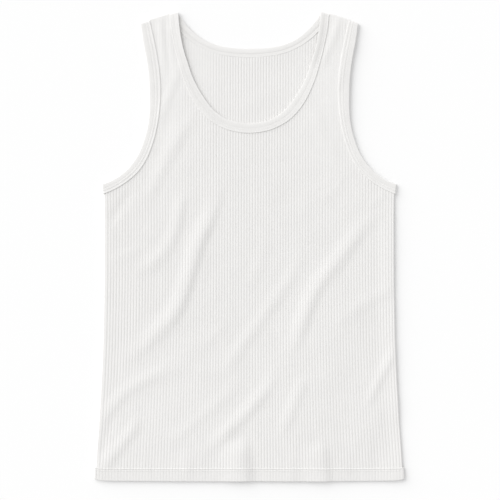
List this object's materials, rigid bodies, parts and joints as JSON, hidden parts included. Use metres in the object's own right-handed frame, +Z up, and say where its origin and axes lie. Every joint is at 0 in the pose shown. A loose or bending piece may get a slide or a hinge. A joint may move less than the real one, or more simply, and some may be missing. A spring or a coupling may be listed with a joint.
{
  "type": "tank top",
  "caption": "Ribbed knit tank top laid flat on its back, with a deep scooped neck, cut-away armholes, folded bindings and a turned-up hem.",
  "frame": {"origin": "on the surface that the garment lies on, under the middle of its outline", "axes": "+Z up off the surface, out of the front; +Y from hem to neck; +X across, towards the right of the picture"},
  "size_m": [0.4656, 0.7037, 0.0063],
  "materials": {
    "rib_knit": "soft matte cotton rib knit, off-white",
    "binding": "soft matte fine cotton knit, off-white, coverstitched"
  },
  "bodies": {
    "root": {"front_panel": "rib_knit", "back_panel": "rib_knit", "hem_band": "rib_knit", "neck_binding": "binding", "armhole_binding_right": "binding", "armhole_binding_left": "binding"}
  },
  "joints": []
}
